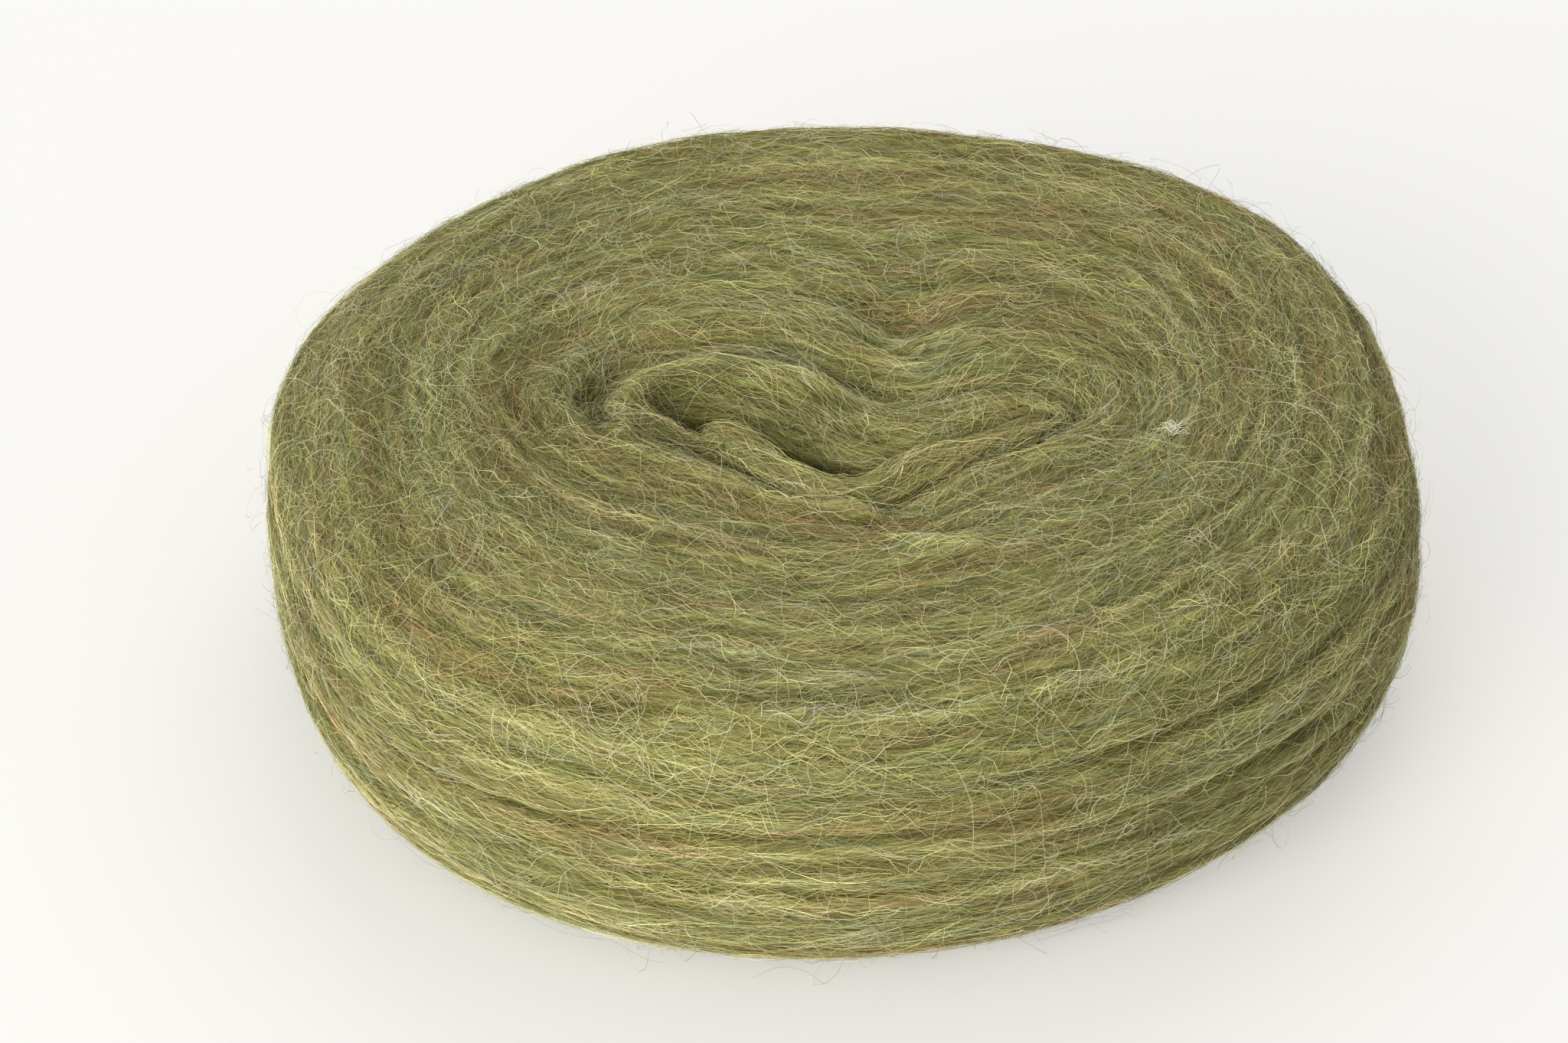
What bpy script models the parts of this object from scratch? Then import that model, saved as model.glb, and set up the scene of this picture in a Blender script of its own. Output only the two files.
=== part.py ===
"""Plate of unspun wool roving, wound flat, with a collapsed centre slot.

The plate is one soft body. Its surface is a loft of closed rings, each of the same number of
points: from the seam in the centre slot up its walls, out over the top, down the rounded side
and in under the flat base to a shallow crease. Sizes are in millimetres until the mesh is made.
The front is -Y, +X is to the right, and the plate stands on Z = 0.
"""
import math
from collections import namedtuple

import bpy
import numpy as np

MM = 0.001
OBJECT_NAME = "wool_roving_plate"
NODE_NAME = "wound_wool"
WOOL_COLOUR = (0.25, 0.23, 0.095, 1.0)
WOOL_ROUGHNESS = 0.95

# Driving sizes
RADIUS = 100.0
EDGE_REACH = 20.0
UPPER_HALF = 26.4
LOWER_HALF = 25.3
UPPER_FULLNESS = 2.55
LOWER_FULLNESS = 2.37

# Mesh steps
POINTS_ROUND = 92
SIDE_STEPS = 27
WALL_STEPS = 4
CREASE_STEPS = 2

# Uneven plan: each row swells the outline by so much in so many evenly spaced directions
Lobe = namedtuple("Lobe", "count swell direction")
LOBES = (
    Lobe(2, 2.0, 68.0),
    Lobe(3, 0.8, 20.0),
    Lobe(4, 0.9, 53.0),
    Lobe(5, 0.5, 34.0),
    Lobe(6, 0.7, 43.0),
)
LOBES_START = 45.0
LOBES_FULL = 92.0

# Rings of the top face, from the lip of the centre slot outwards. A ring is an oval about (x, y)
# that reaches so far left and right, back and front, and whose back and front dip towards the
# viewer by the sags, deepest at the dips' x. The rings of the middle tilt, right end forward.
Ring = namedtuple("Ring", "reach back front sag_back sag_front dip_back dip_front x y z steps")
TOP_RINGS = (
    Ring(33.0, 4.0, 5.0, 12.8, 18.0, 11.0, -1.5, 2.0, -6.5, 47.5, 2),
    Ring(36.5, 12.0, 9.5, 14.0, 16.5, 10.0, -1.0, 0.5, -6.5, 52.0, 2),
    Ring(40.5, 20.0, 14.0, 14.5, 15.0, 9.5, 0.0, -2.0, -5.5, 49.5, 2),
    Ring(46.5, 28.5, 22.0, 15.0, 12.0, 9.0, 1.0, -1.5, -5.0, 52.2, 2),
    Ring(53.0, 37.5, 32.0, 11.5, 9.5, 8.5, 2.0, -1.0, -3.5, 51.0, 3),
    Ring(61.0, 49.0, 45.0, 7.0, 6.0, 8.0, 2.0, -0.5, -2.0, 52.3, 3),
    Ring(70.0, 63.0, 61.0, 3.5, 2.5, 6.0, 0.0, 0.0, -0.5, 52.0, 3),
)
DIP_WIDTH = 0.42
TILT = 3.0
TILT_GONE = 60.0

# Rings of the base, from its edge inwards to the lip of the shallow crease
BASE_RINGS = (
    Ring(58.0, 54.0, 54.0, 2.0, 2.0, 0.0, 0.0, 0.0, 0.0, 0.0, 2),
    Ring(36.0, 9.0, 9.0, 5.0, 5.0, 0.0, 0.0, 0.0, 0.0, 0.0, 1),
    Ring(31.0, 3.0, 3.0, 5.0, 5.0, 0.0, 0.0, 0.0, 0.0, 0.0, 0),
)
BASE_EDGE_STEPS = 2

# Hollows along the slot, and the one of the base's crease. Their back wall falls away later than
# their front wall, which is what the shoulders' powers say.
Pocket = namedtuple("Pocket", "x half_length depth")
SLOT_POCKETS = (
    Pocket(-25.5, 4.4, 11.0),
    Pocket(-5.0, 9.8, 17.0),
    Pocket(14.0, 8.0, 5.0),
    Pocket(28.0, 4.5, 8.0),
)
BASE_POCKETS = (Pocket(0.0, 24.0, 6.0),)
SEAM_WIDTH = 0.14
SLOT_MIN_GAP = 0.9
BACK_SHOULDER = 1.35
FRONT_SHOULDER = 0.75
SHOULDER_BLEND = 1.0

# Folds of the top face: soft troughs that follow a ring, counted in rows from the lip, for a spread
# of degrees on each side of a direction. Their half width is in rows.
Fold = namedtuple("Fold", "ring direction spread half_width depth")
FOLDS = (
    Fold(2.0, 165.0, 30.0, 0.62, 4.6),
    Fold(2.7, 122.0, 18.0, 0.62, 2.2),
    Fold(2.0, 76.0, 26.0, 0.62, 2.4),
    Fold(2.0, 36.0, 16.0, 0.60, 1.8),
    Fold(2.0, 6.0, 18.0, 0.62, 2.8),
    Fold(4.0, 78.0, 9.0, 0.72, 4.6),
    Fold(4.0, 150.0, 11.0, 0.65, 2.2),
    Fold(3.0, 286.0, 10.0, 0.65, 3.2),
    Fold(2.0, 244.0, 20.0, 0.62, 1.8),
    Fold(5.0, 210.0, 25.0, 0.70, 1.2),
    Fold(5.0, 330.0, 22.0, 0.70, 1.2),
)

# Grooves between the main bundles of turns: on the side at a height, which drifts as the turns
# climb, and deepest on the side that faces one direction
Groove = namedtuple("Groove", "height depth half_width drift turn facing")
SIDE_GROOVES = (
    Groove(47.6, 1.0, 2.6, 0.5, 40.0, 250.0),
    Groove(37.0, 1.5, 2.4, 1.4, 200.0, 320.0),
    Groove(28.5, 1.2, 2.4, 1.6, 80.0, 300.0),
    Groove(20.5, 1.4, 2.4, 1.2, 150.0, 330.0),
    Groove(12.5, 1.0, 2.2, 0.8, 20.0, 310.0),
)
GROOVE_FAINT = 0.45
GROOVES_START = 74.0
GROOVES_FULL = 84.0


def clear_scene():
    for old in list(bpy.data.objects):
        bpy.data.objects.remove(old, do_unlink=True)


def smooth_step(value, low, high):
    t = np.clip((value - low) / (high - low), 0.0, 1.0)
    return t * t * (3.0 - 2.0 * t)


def swell(angles):
    return sum(lobe.swell * np.cos(lobe.count * (angles - math.radians(lobe.direction)))
               for lobe in LOBES)


def dip(across, centre):
    return np.exp(-((across - centre) / DIP_WIDTH) ** 2)


def ring_points(ring, angles):
    """Points of one ring, as an array of x, y, z."""
    across = np.cos(angles)
    along = np.sin(angles)
    backness = 0.5 + 0.5 * along
    half = np.where(along > 0.0, ring.back, ring.front)
    sag_back = ring.sag_back * dip(across, (ring.dip_back - ring.x) / ring.reach)
    sag_front = ring.sag_front * dip(across, (ring.dip_front - ring.x) / ring.reach)
    lean = TILT * (1.0 - smooth_step(ring.reach, TOP_RINGS[0].reach, TILT_GONE))
    bulge = swell(angles) * smooth_step(ring.reach, LOBES_START, LOBES_FULL)
    x = ring.x + (ring.reach + bulge) * across
    y = ring.y - lean * across + (half + bulge) * along
    y = y - backness * sag_back - (1.0 - backness) * sag_front
    return np.stack([x, y, np.full_like(x, ring.z)], axis=1)


def between(rings):
    """Rings on a smooth curve through the given rows, each with its place in rows."""
    table = np.array([ring[:-1] for ring in rings])
    result = []
    for i, ring in enumerate(rings[:-1]):
        before = table[max(i - 1, 0)]
        start = table[i]
        end = table[i + 1]
        after = table[min(i + 2, len(rings) - 1)]
        for k in range(ring.steps):
            t = k / ring.steps
            row = 0.5 * (2.0 * start + (end - before) * t
                         + (2.0 * before - 5.0 * start + 4.0 * end - after) * t ** 2
                         + (3.0 * start - before - 3.0 * end + after) * t ** 3)
            result.append((i + t, Ring(*row, 1)))
    return result


def round_ring(radius, z, steps=1):
    return Ring(radius, radius, radius, 0.0, 0.0, 0.0, 0.0, 0.0, 0.0, z, steps)


def side_rings():
    """The rounded side as rings from the top face's edge to the base's edge."""
    rings = []
    for lean in np.linspace(0.5 * math.pi, -0.5 * math.pi, SIDE_STEPS):
        upper = lean > 0.0
        fullness = UPPER_FULLNESS if upper else LOWER_FULLNESS
        half = UPPER_HALF if upper else LOWER_HALF
        out = EDGE_REACH * abs(math.cos(lean)) ** (2.0 / fullness)
        rise = half * math.copysign(abs(math.sin(lean)) ** (2.0 / fullness), lean)
        rings.append(round_ring(RADIUS - EDGE_REACH + out, LOWER_HALF + rise))
    return rings


def hollow(lip, pockets, steps, direction):
    """Rings from a lip down to the seam of its slot, seam last."""
    middle = 0.5 * (lip + np.roll(lip[::-1], 1, axis=0))
    depth = sum(p.depth * np.exp(-((middle[:, 0] - p.x) / p.half_length) ** 2) for p in pockets)
    backness = smooth_step(lip[:, 1] - middle[:, 1], -SHOULDER_BLEND, SHOULDER_BLEND)
    shoulder = FRONT_SHOULDER + (BACK_SHOULDER - FRONT_SHOULDER) * backness
    rings = []
    for k in range(1, steps + 1):
        t = k / steps
        ring = middle + (lip - middle) * (1.0 - (1.0 - SEAM_WIDTH) * t)
        ring[:, 2] = lip[:, 2] + direction * depth * t ** shoulder
        rings.append(ring)
    return rings


def open_lip(lip):
    """Keep the lip's back and front edges apart where the slot is only a crease."""
    other = np.roll(lip[::-1], 1, axis=0)
    half_gap = 0.5 * (lip[:, 1] - other[:, 1])
    side = np.sign(np.round(half_gap, 6))
    middle = 0.5 * (lip[:, 1] + other[:, 1])
    lip[:, 1] = middle + side * np.maximum(np.abs(half_gap), 0.5 * SLOT_MIN_GAP)
    return lip


def fold_depth(place, angles):
    """How far the folds lower the points of the ring at one place."""
    lowered = np.zeros(len(angles))
    for fold in FOLDS:
        turned = (np.degrees(angles) - fold.direction + 180.0) % 360.0 - 180.0
        across = (place - fold.ring) / fold.half_width
        lowered += fold.depth * np.exp(-across ** 2 - (turned / fold.spread) ** 2)
    return lowered


def groove_depth(points, angles):
    """How far the grooves between bundles push each point of the side inwards."""
    out = np.linalg.norm(points[:, :2], axis=1)
    pushed = np.zeros(len(points))
    for groove in SIDE_GROOVES:
        level = groove.height + groove.drift * np.sin(angles - math.radians(groove.turn))
        facing = 0.5 + 0.5 * np.cos(angles - math.radians(groove.facing))
        strength = GROOVE_FAINT + (1.0 - GROOVE_FAINT) * facing
        pushed += groove.depth * strength * np.exp(-((points[:, 2] - level) / groove.half_width) ** 2)
    return pushed * smooth_step(out, GROOVES_START, GROOVES_FULL)


def outward(grid):
    """Unit normals of the ring grid."""
    down = np.gradient(grid, axis=0)
    along = 0.5 * (np.roll(grid, -1, axis=1) - np.roll(grid, 1, axis=1))
    normal = np.cross(down, along)
    return normal / np.maximum(np.linalg.norm(normal, axis=2, keepdims=True), 1e-9)


def plate_grid():
    """All rings, from the slot's seam over the top and side to the base's seam."""
    angles = np.linspace(0.0, 2.0 * math.pi, POINTS_ROUND, endpoint=False)
    side = side_rings()
    top = []
    for place, ring in between(TOP_RINGS + (side[0],)):
        points = ring_points(ring, angles)
        points[:, 2] -= fold_depth(place, angles)
        top.append(points)
    base_edge = round_ring(side[-1].reach, 0.0, BASE_EDGE_STEPS)
    base = [ring_points(ring, angles) for place, ring in between((base_edge,) + BASE_RINGS)[1:]]
    top[0] = open_lip(top[0])
    base_lip = open_lip(ring_points(BASE_RINGS[-1], angles))
    rows = hollow(top[0], SLOT_POCKETS, WALL_STEPS, -1.0)[::-1]
    rows += top
    rows += [ring_points(ring, angles) for ring in side]
    rows += base
    rows += [base_lip]
    rows += hollow(base_lip, BASE_POCKETS, CREASE_STEPS, 1.0)
    grid = np.array(rows)
    for row, normal in zip(grid, outward(grid)):
        row -= groove_depth(row, angles)[:, None] * normal
    return grid


def ring_faces(ring_count, point_count):
    """Quads between rings, and a strip that closes the seam at each end."""
    faces = []
    for i in range(ring_count - 1):
        for j in range(point_count):
            k = (j + 1) % point_count
            here = i * point_count
            below = here + point_count
            faces.append((here + j, below + j, below + k, here + k))
    last = (ring_count - 1) * point_count
    half = point_count // 2
    for j in range(half):
        near = (j, j + 1)
        far = ((point_count - j) % point_count, point_count - j - 1)
        strip = [near[0], near[1], far[1], far[0]]
        strip = list(dict.fromkeys(strip))
        faces.append(tuple(strip))
        faces.append(tuple(last + index for index in reversed(strip)))
    return faces


def wool_material():
    material = bpy.data.materials.new("heathered_wool")
    material.use_nodes = True
    shader = material.node_tree.nodes["Principled BSDF"]
    shader.inputs["Base Color"].default_value = WOOL_COLOUR
    shader.inputs["Roughness"].default_value = WOOL_ROUGHNESS
    shader.inputs["Metallic"].default_value = 0.0
    return material


def make_plate(collection):
    grid = plate_grid()
    ring_count, point_count = grid.shape[:2]
    vertices = grid.reshape(-1, 3)
    low = vertices.min(axis=0)
    high = vertices.max(axis=0)
    centre = np.array([0.5 * (low[0] + high[0]), 0.5 * (low[1] + high[1]), low[2]])
    mesh = bpy.data.meshes.new(NODE_NAME)
    mesh.from_pydata(((vertices - centre) * MM).tolist(), [], ring_faces(ring_count, point_count))
    mesh.validate()
    mesh.shade_smooth()
    mesh.materials.append(wool_material())
    plate = bpy.data.objects.new(NODE_NAME, mesh)
    collection.objects.link(plate)
    return plate


def main():
    clear_scene()
    collection = bpy.data.collections.new(OBJECT_NAME)
    bpy.context.scene.collection.children.link(collection)
    make_plate(collection)


main()
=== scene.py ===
"""Looks of a plate of unspun, heathered wool roving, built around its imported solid.

The plate's surface is the solid's loft of rings at a finer step, with the single turns of roving
raised in it. Layers of fine fibres lie along the turns, a loose strand crosses the slot, and pale
stray hairs curl over them.
Sizes of the loft and the fibres are in millimetres until a mesh is made. The front is -Y.
"""
import math
from collections import namedtuple

import bpy
import numpy as np
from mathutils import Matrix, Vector

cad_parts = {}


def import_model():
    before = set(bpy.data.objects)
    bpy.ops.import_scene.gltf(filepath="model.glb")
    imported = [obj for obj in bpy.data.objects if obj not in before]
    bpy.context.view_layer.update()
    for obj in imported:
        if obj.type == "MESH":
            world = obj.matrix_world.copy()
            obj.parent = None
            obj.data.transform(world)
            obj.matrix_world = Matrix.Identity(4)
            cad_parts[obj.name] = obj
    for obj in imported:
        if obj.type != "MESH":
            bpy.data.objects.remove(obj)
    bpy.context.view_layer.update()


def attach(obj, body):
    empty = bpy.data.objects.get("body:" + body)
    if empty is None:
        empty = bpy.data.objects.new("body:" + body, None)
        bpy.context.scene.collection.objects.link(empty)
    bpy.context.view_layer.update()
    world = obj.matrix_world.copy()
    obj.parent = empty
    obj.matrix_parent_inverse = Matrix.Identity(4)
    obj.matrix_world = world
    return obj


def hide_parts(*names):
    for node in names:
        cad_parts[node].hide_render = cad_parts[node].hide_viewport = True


MM = 0.001
BODY = "root"
NODE = "wound_wool"

# The loft's driving sizes, as in the solid, but the slot's first pocket is wider and deeper here
RADIUS = 100.0
EDGE_REACH = 20.0
UPPER_HALF = 26.4
LOWER_HALF = 25.3
UPPER_FULLNESS = 2.55
LOWER_FULLNESS = 2.37

Lobe = namedtuple("Lobe", "count swell direction")
LOBES = (
    Lobe(2, 2.0, 68.0),
    Lobe(3, 0.8, 20.0),
    Lobe(4, 0.9, 53.0),
    Lobe(5, 0.5, 34.0),
    Lobe(6, 0.7, 43.0),
)
LOBES_START = 45.0
LOBES_FULL = 92.0

Ring = namedtuple("Ring", "reach back front sag_back sag_front dip_back dip_front x y z steps")
TOP_RINGS = (
    Ring(33.0, 4.0, 5.0, 12.8, 18.0, 11.0, -1.5, 2.0, -6.5, 47.5, 2),
    Ring(36.5, 12.0, 9.5, 14.0, 16.5, 10.0, -1.0, 0.5, -6.5, 52.0, 2),
    Ring(40.5, 20.0, 14.0, 14.5, 15.0, 9.5, 0.0, -2.0, -5.5, 49.5, 2),
    Ring(46.5, 28.5, 22.0, 15.0, 12.0, 9.0, 1.0, -1.5, -5.0, 52.2, 2),
    Ring(53.0, 37.5, 32.0, 11.5, 9.5, 8.5, 2.0, -1.0, -3.5, 51.0, 3),
    Ring(61.0, 49.0, 45.0, 7.0, 6.0, 8.0, 2.0, -0.5, -2.0, 52.3, 3),
    Ring(70.0, 63.0, 61.0, 3.5, 2.5, 6.0, 0.0, 0.0, -0.5, 52.0, 3),
)
DIP_WIDTH = 0.42
TILT = 3.0
TILT_GONE = 60.0
BASE_RINGS = (
    Ring(58.0, 54.0, 54.0, 2.0, 2.0, 0.0, 0.0, 0.0, 0.0, 0.0, 2),
    Ring(36.0, 9.0, 9.0, 5.0, 5.0, 0.0, 0.0, 0.0, 0.0, 0.0, 1),
    Ring(31.0, 3.0, 3.0, 5.0, 5.0, 0.0, 0.0, 0.0, 0.0, 0.0, 0),
)
BASE_EDGE_STEPS = 2

Pocket = namedtuple("Pocket", "x half_length depth")
SLOT_POCKETS = (
    Pocket(-25.0, 6.0, 18.0),
    Pocket(-5.0, 9.8, 17.0),
    Pocket(14.0, 8.0, 5.0),
    Pocket(28.0, 4.5, 8.0),
)
BASE_POCKETS = (Pocket(0.0, 24.0, 6.0),)
SEAM_WIDTH = 0.14
SLOT_MIN_GAP = 0.9
BACK_SHOULDER = 1.35
FRONT_SHOULDER = 0.75
SHOULDER_BLEND = 1.0

Fold = namedtuple("Fold", "ring direction spread half_width depth")
FOLDS = (
    Fold(2.0, 165.0, 30.0, 0.62, 4.6),
    Fold(2.7, 122.0, 18.0, 0.62, 2.2),
    Fold(2.0, 76.0, 26.0, 0.62, 2.4),
    Fold(2.0, 36.0, 16.0, 0.60, 1.8),
    Fold(2.0, 6.0, 18.0, 0.62, 2.8),
    Fold(4.0, 78.0, 9.0, 0.72, 4.6),
    Fold(4.0, 150.0, 11.0, 0.65, 2.2),
    Fold(3.0, 286.0, 10.0, 0.65, 3.2),
    Fold(2.0, 244.0, 20.0, 0.62, 1.8),
    Fold(5.0, 210.0, 25.0, 0.70, 1.2),
    Fold(5.0, 330.0, 22.0, 0.70, 1.2),
)

Groove = namedtuple("Groove", "height depth half_width drift turn facing")
SIDE_GROOVES = (
    Groove(47.6, 1.0, 2.6, 0.5, 40.0, 250.0),
    Groove(37.0, 1.5, 2.4, 1.4, 200.0, 320.0),
    Groove(28.5, 1.2, 2.4, 1.6, 80.0, 300.0),
    Groove(20.5, 1.4, 2.4, 1.2, 150.0, 330.0),
    Groove(12.5, 1.0, 2.2, 0.8, 20.0, 310.0),
)
GROOVE_FAINT = 0.45
GROOVES_START = 74.0
GROOVES_FULL = 84.0

# Steps of the fine loft: rows to each row of the solid, and points round a ring
POINTS_ROUND = 244
FINER = 5
SIDE_STEPS = 125
WALL_STEPS = 12
CREASE_STEPS = 4

# Single turns of roving
TURN_PITCH = 4.4
TURN_RELIEF_TOP = 0.6
TURN_RELIEF_SIDE = 1.4
TURN_WOBBLE = 6.0
SIDE_TOP = 40.5
SIDE_BLEND = 6.0
TURNS_FACING = 290.0
LUMP_RELIEF = 0.95
STREAK_RELIEF = 1.65
# Painted shade in hollows between the turns and painted light on their crests, from the height over the
# mean across HOLLOW_SPAN, kept between SHADE_LOW and SHADE_HIGH
HOLLOW_SPAN = 4.0
HOLLOW_PAINTED_SHADE = 0.52
SHADE_LOW = 0.45
SHADE_HIGH = 1.28
TONE = 0.34
# Painted light on the side that faces the front left, towards the key lamp, and painted shade on the
# side away from it
PAINTED_SIDE_LIGHT = 0.58
PAINTED_SIDE_LIGHT_FACING = 215.0
PAINTED_SIDE_LIGHT_LEVEL = 0.45
# Painted shade on the top where its turns run towards the viewer, at the left and right, and painted
# light where they run across, at the front and back
END_ON_PAINTED_SHADE = 0.24
# Painted shade down in the slot: it begins POCKET_LIP under the lip and is full at POCKET_DEPTH
POCKET_PAINTED_SHADE = 0.12
POCKET_LIP = 1.2
POCKET_DEPTH = 5.0
MASS_SINK = 0.45

# Locks that cross or follow the turns round the slot: raised ones are ridges, lowered ones creases
Lock = namedtuple("Lock", "rise half_width route")
LOCKS = (
    Lock(2.0, 2.2, ((-6.0, -34.4), (3.7, -40.4), (8.1, -45.0), (12.9, -49.3), (20.2, -50.9))),
    Lock(1.3, 2.2, ((-36.2, -13.9), (-36.6, -5.9), (-33.7, 0.9), (-28.0, 4.8), (-21.7, 6.7))),
    Lock(1.2, 2.4, ((-6.0, 24.0), (2.4, 21.8), (8.0, 19.0), (13.5, 16.5), (22.0, 15.1))),
    Lock(1.0, 2.0, ((-14.0, 3.0), (-4.0, 1.4), (6.0, -1.0), (17.0, -1.2), (28.0, 3.0))),
    Lock(1.4, 3.2, ((-20.0, -5.0), (-12.0, -8.6), (-3.0, -14.0),
                    (6.0, -17.6), (16.0, -14.0), (27.0, -9.0))),
    Lock(-1.1, 1.3, ((0.0, -35.0), (6.6, -31.4), (12.5, -26.4), (21.0, -19.6), (29.8, -15.4))),
    Lock(-3.6, 2.0, ((22.0, -18.2), (26.0, -16.8), (31.0, -15.4))),
    Lock(-2.2, 1.7, ((5.5, -42.6), (10.0, -44.0), (14.0, -44.0), (17.5, -42.8))),
    Lock(-1.3, 1.6, ((-4.2, -3.6), (2.8, -6.8), (15.3, -6.8), (30.5, 0.6), (36.1, -4.0))),
    Lock(-1.8, 1.6, ((-41.4, -12.3), (-40.2, -2.0), (-34.0, 5.8), (-20.5, 12.2))),
    Lock(-3.4, 2.0, ((4.5, 17.8), (8.0, 14.9), (12.0, 12.2))),
    Lock(-1.5, 1.5, ((-48.0, 11.0), (-44.0, 13.6), (-37.0, 16.0))),
)
LOCK_LEVEL = 34.0
ROUTE_STEPS = 6
LOCK_GRIP = 3.2

# How far forward of the solid's edges the slot's back and front edges stand
Shift = namedtuple("Shift", "x half_length back front")
EDGE_SHIFTS = (
    Shift(-25.0, 6.0, -1.0, 8.0),
    Shift(-9.0, 8.0, 2.5, 4.5),
    Shift(1.5, 7.0, 4.0, 3.5),
)
SHIFT_ROWS = 2.6

# A loose strand that crosses the slot and then forms its front edge, from left to right
StrandPoint = namedtuple("StrandPoint", "x y z radius")
STRAND = (
    StrandPoint(-22.4, -7.0, 45.5, 1.0),
    StrandPoint(-20.6, -11.6, 48.6, 1.8),
    StrandPoint(-17.8, -15.8, 49.6, 2.2),
    StrandPoint(-13.2, -21.8, 49.8, 2.4),
    StrandPoint(-8.4, -27.6, 49.8, 2.5),
    StrandPoint(-3.0, -32.0, 49.8, 2.5),
    StrandPoint(2.0, -33.0, 49.8, 2.4),
    StrandPoint(7.5, -30.0, 49.8, 2.3),
    StrandPoint(13.5, -24.2, 50.0, 2.3),
    StrandPoint(21.5, -17.8, 49.8, 2.3),
    StrandPoint(28.6, -13.4, 49.4, 2.1),
    StrandPoint(33.5, -9.6, 48.4, 1.7),
    StrandPoint(37.5, -3.6, 45.4, 1.0),
)
STRAND_WIDTH = 1.35
STRAND_RINGS = 150
STRAND_POINTS = 28
STRAND_FIBRES = 1500
STRAND_SEGMENTS = 9
STRAND_SINK = 0.3
STRAND_TWIST_RADIUS = 2.6

# Fibres: one layer is one mesh of ribbons. Its shade is painted shade on the deep layer and painted
# light on the upper ones, which also hold paler fibres
Layer = namedtuple(
    "Layer", "name count segments length_low length_high sway wave drift low high width shade seed")
LAYERS = (
    Layer("fibres_deep", 21500, 4, 6.0, 15.0, 12.0, 14.0, 7.0, -0.30, 0.05, 0.095, 0.70, 11),
    Layer("fibres_lay", 22000, 4, 5.0, 13.0, 15.0, 17.0, 9.0, -0.10, 0.30, 0.08, 1.00, 12),
    Layer("fibres_over", 15000, 6, 6.0, 14.0, 17.0, 26.0, 12.0, 0.05, 0.50, 0.07, 1.2, 13),
    Layer("fibres_crimped", 14000, 6, 3.0, 9.0, 40.0, 42.0, 20.0, 0.15, 0.80, 0.055, 1.56, 14),
)
WAVE_LENGTH_LOW = 4.5
WAVE_LENGTH_HIGH = 12.0
FIBRE_SHADE_SPREAD = 0.47
FIBRE_SHADE_MOST = 1.95
DYE_SPREAD = 0.27
FIBRE_ROLL = 0.85
BRIDGE_ROUNDS = 4
LAY_SWAY = 34.0
LOOSE_LEAST = 0.45
LOOSE_MORE_ON_TOP = 0.75
LOOSE_FROM_HEIGHT = 38.0
LOOSE_TO_HEIGHT = 50.0
LEAST_HEIGHT = 0.2
LEAST_ROW_STEP = 0.25
LEAST_ANGLE_STEP = 2.0

# Share of hairs on the base, which starts a few rows up the side
BASE_ROWS_UP = 6
FIBRE_BASE_SHARE = 0.3
STRAY_BASE_SHARE = 0.15
FUZZ_BASE_SHARE = 0.1

# Camera and light
VIEW_ELEVATION = math.radians(33.5)
VIEW_DISTANCE = 0.9
VIEW_TARGET = (0.0003, 0.0005, 0.026)
VIEW_LENS = 121.35
VIEW_SHIFT = (-0.0376, -0.008)

# Lamps: side and rise are the directions that the light comes from, in degrees
Lamp = namedtuple("Lamp", "name side rise away size power")
LAMPS = (
    Lamp("key", 238.0, 19.0, 1.4, 1.1, 17.6),
    Lamp("back", 82.0, 42.0, 1.4, 1.3, 6.8),
)
LAMP_COLOUR = (1.0, 0.985, 0.95)
FLOOR_COLOUR = (0.5, 0.496, 0.481, 1.0)
FLOOR_GLOW = 0.81
FLOOR_SIZE = 12.0
FLOOR_GAP = 0.0002
WORLD_COLOUR = (0.99, 0.995, 1.0, 1.0)
WORLD_STRENGTH = 0.66


def smooth_step(value, low, high):
    t = np.clip((value - low) / (high - low), 0.0, 1.0)
    return t * t * (3.0 - 2.0 * t)


def swell(angles):
    return sum(lobe.swell * np.cos(lobe.count * (angles - math.radians(lobe.direction)))
               for lobe in LOBES)


def dip(across, centre):
    return np.exp(-((across - centre) / DIP_WIDTH) ** 2)


def ring_points(ring, angles):
    """Points of one ring, as an array of x, y, z."""
    across = np.cos(angles)
    along = np.sin(angles)
    backness = 0.5 + 0.5 * along
    half = np.where(along > 0.0, ring.back, ring.front)
    sag_back = ring.sag_back * dip(across, (ring.dip_back - ring.x) / ring.reach)
    sag_front = ring.sag_front * dip(across, (ring.dip_front - ring.x) / ring.reach)
    lean = TILT * (1.0 - smooth_step(ring.reach, TOP_RINGS[0].reach, TILT_GONE))
    bulge = swell(angles) * smooth_step(ring.reach, LOBES_START, LOBES_FULL)
    x = ring.x + (ring.reach + bulge) * across
    y = ring.y - lean * across + (half + bulge) * along
    y = y - backness * sag_back - (1.0 - backness) * sag_front
    return np.stack([x, y, np.full_like(x, ring.z)], axis=1)


def curve(before, start, end, after, t):
    """A place on the smooth curve from start to end."""
    return 0.5 * (2.0 * start + (end - before) * t
                  + (2.0 * before - 5.0 * start + 4.0 * end - after) * t ** 2
                  + (3.0 * start - before - 3.0 * end + after) * t ** 3)


def between(rings):
    """Rings on a smooth curve through the given rows, each with its place in rows."""
    table = np.array([ring[:-1] for ring in rings])
    result = []
    for i, ring in enumerate(rings[:-1]):
        corners = (table[max(i - 1, 0)], table[i], table[i + 1], table[min(i + 2, len(rings) - 1)])
        steps = ring.steps * FINER
        for k in range(steps):
            t = k / steps
            result.append((i + t, Ring(*curve(*corners, t), 1)))
    return result


def round_ring(radius, z, steps=1):
    return Ring(radius, radius, radius, 0.0, 0.0, 0.0, 0.0, 0.0, 0.0, z, steps)


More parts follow.
